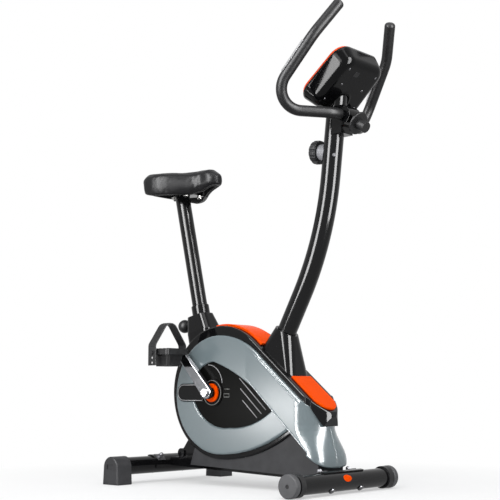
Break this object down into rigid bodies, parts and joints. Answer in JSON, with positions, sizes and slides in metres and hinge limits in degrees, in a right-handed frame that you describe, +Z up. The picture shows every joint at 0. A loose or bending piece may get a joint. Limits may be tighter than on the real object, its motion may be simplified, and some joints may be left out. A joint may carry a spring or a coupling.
{
  "type": "exercise bike",
  "caption": "Upright home exercise bike with a moulded drive cover, curved mast, looped handlebar, console, strapped pedals, sliding saddle post and tube stabilisers with transport wheels.",
  "frame": {"origin": "on the floor under the middle of the overall box", "axes": "+X towards the front, +Y towards the rider's left, +Z up"},
  "size_m": [0.8055, 0.48, 1.2857],
  "materials": {
    "frame_paint": "gloss",
    "chrome": "polished",
    "zinc": "zinc plated",
    "black_gloss": "high gloss",
    "black_plastic": "fine grain",
    "charcoal_plastic": "fine grain",
    "grey_gloss": "high gloss",
    "orange_gloss": "high gloss",
    "light_grey_plastic": "satin",
    "foam": "matte foam",
    "rubber": "matte",
    "vinyl": "grained vinyl over foam",
    "lens": "clear",
    "cast_iron": "machined",
    "steel": "bright"
  },
  "bodies": {
    "frame": {"base_frame": "frame_paint", "clamp_cap": "black_gloss", "console_back": "black_gloss", "console_front": "orange_gloss", "console_lens": "lens", "drive_belt": "rubber", "flywheel_axle": "steel", "front_cap_left": "black_plastic", "front_cap_right": "black_plastic", "front_post": "frame_paint", "front_stabiliser": "frame_paint", "front_top_cover": "orange_gloss", "hub_panel_left": "black_gloss", "hub_panel_right": "black_gloss", "hub_rings": "orange_gloss", "lower_cover_left": "charcoal_plastic", "lower_cover_right": "charcoal_plastic", "mast": "frame_paint", "mast_boot": "black_gloss", "mast_screws": "zinc", "nose_cap": "black_gloss", "panel_left": "grey_gloss", "panel_right": "grey_gloss", "plaques": "black_gloss", "rear_foot_left": "charcoal_plastic", "rear_foot_right": "charcoal_plastic", "rear_stabiliser": "frame_paint", "rear_top_cover": "orange_gloss", "seat_bush": "black_plastic", "seat_shroud": "black_gloss", "seat_tube": "frame_paint", "shell_left": "black_gloss", "shell_right": "black_gloss", "stabiliser_bolts": "zinc", "stabiliser_nuts": "zinc", "tension_base": "light_grey_plastic"},
    "crank_set": {"crank_axle": "steel", "crank_left": "chrome", "crank_right": "chrome", "crank_pulley": "black_plastic"},
    "pedal_right_unit": {"pedal_right": "black_plastic", "strap_right": "rubber"},
    "pedal_left_unit": {"pedal_left": "black_plastic", "strap_left": "rubber"},
    "flywheel_unit": {"flywheel": "cast_iron"},
    "wheel_right_unit": {"transport_wheel_right": "charcoal_plastic"},
    "wheel_left_unit": {"transport_wheel_left": "charcoal_plastic"},
    "seat": {"seat_post": "frame_paint", "saddle_base": "black_plastic", "saddle_cushion": "vinyl", "saddle_nuts": "zinc"},
    "seat_lock_unit": {"seat_lock": "black_plastic"},
    "tension_dial": {"tension_knob": "charcoal_plastic"},
    "magnet_unit": {"magnet_bracket": "steel"},
    "handlebar_unit": {"handlebar": "frame_paint", "grip_left": "foam", "grip_right": "foam", "pulse_sensors": "steel"},
    "clamp_knob_unit": {"clamp_knob": "black_plastic"},
    "console_key_unit": {"console_key": "light_grey_plastic"}
  },
  "joints": [
    {"name": "crank_spin", "type": "hinge", "parent": "frame", "child": "crank_set", "pos_m": [-0.1143, 0, 0.26], "axis": [0, 1, 0], "continuous": true},
    {"name": "pedal_right_spin", "type": "hinge", "parent": "crank_set", "child": "pedal_right_unit", "pos_m": [-0.2166, -0.142, 0.3697], "axis": [0, 1, 0], "continuous": true},
    {"name": "pedal_left_spin", "type": "hinge", "parent": "crank_set", "child": "pedal_left_unit", "pos_m": [-0.012, 0.142, 0.1503], "axis": [0, 1, 0], "continuous": true},
    {"name": "flywheel_spin", "type": "hinge", "parent": "frame", "child": "flywheel_unit", "pos_m": [0.1217, 0.008, 0.165], "axis": [0, 1, 0], "continuous": true},
    {"name": "wheel_right_spin", "type": "hinge", "parent": "frame", "child": "wheel_right_unit", "pos_m": [0.2917, -0.212, 0.0305], "axis": [0, 1, 0], "continuous": true},
    {"name": "wheel_left_spin", "type": "hinge", "parent": "frame", "child": "wheel_left_unit", "pos_m": [0.2917, 0.212, 0.0305], "axis": [0, 1, 0], "continuous": true},
    {"name": "seat_height", "type": "slide", "parent": "frame", "child": "seat", "axis": [-0.225, 0, 0.9744], "range_m": [-0.2, 0.03]},
    {"name": "seat_lock_pull", "type": "slide", "parent": "frame", "child": "seat_lock_unit", "axis": [-0.9744, 0, -0.225], "range_m": [0, 0.014], "stiffness_N_per_m": 900, "springref_m": -0.006},
    {"name": "tension_turn", "type": "hinge", "parent": "frame", "child": "tension_dial", "pos_m": [0.27489, 0, 0.912], "axis": [-0.9925, 0, 0.1219], "range_deg": [0, 288]},
    {"name": "magnet_swing", "type": "hinge", "parent": "frame", "child": "magnet_unit", "pos_m": [0.13993, 0.008, 0.26841], "axis": [0, 1, 0], "range_deg": [0, 4]},
    {"name": "handlebar_tilt", "type": "hinge", "parent": "frame", "child": "handlebar_unit", "pos_m": [0.3237, 0, 1.003], "axis": [0, 1, 0], "range_deg": [-15, 15]},
    {"name": "clamp_knob_turn", "type": "hinge", "parent": "frame", "child": "clamp_knob_unit", "pos_m": [0.35725, 0, 0.98121], "axis": [0.8387, 0, -0.5446], "range_deg": [-360, 0]},
    {"name": "console_key_press", "type": "slide", "parent": "frame", "child": "console_key_unit", "axis": [0.6521, 0, -0.7581], "range_m": [0, 0.0015], "stiffness_N_per_m": 600, "springref_m": -0.001}
  ],
  "couplings": [
    {"joint": "flywheel_spin", "follows": "crank_spin", "ratio": 5.9375},
    {"joint": "magnet_swing", "follows": "tension_turn", "ratio": 0.013889}
  ]
}
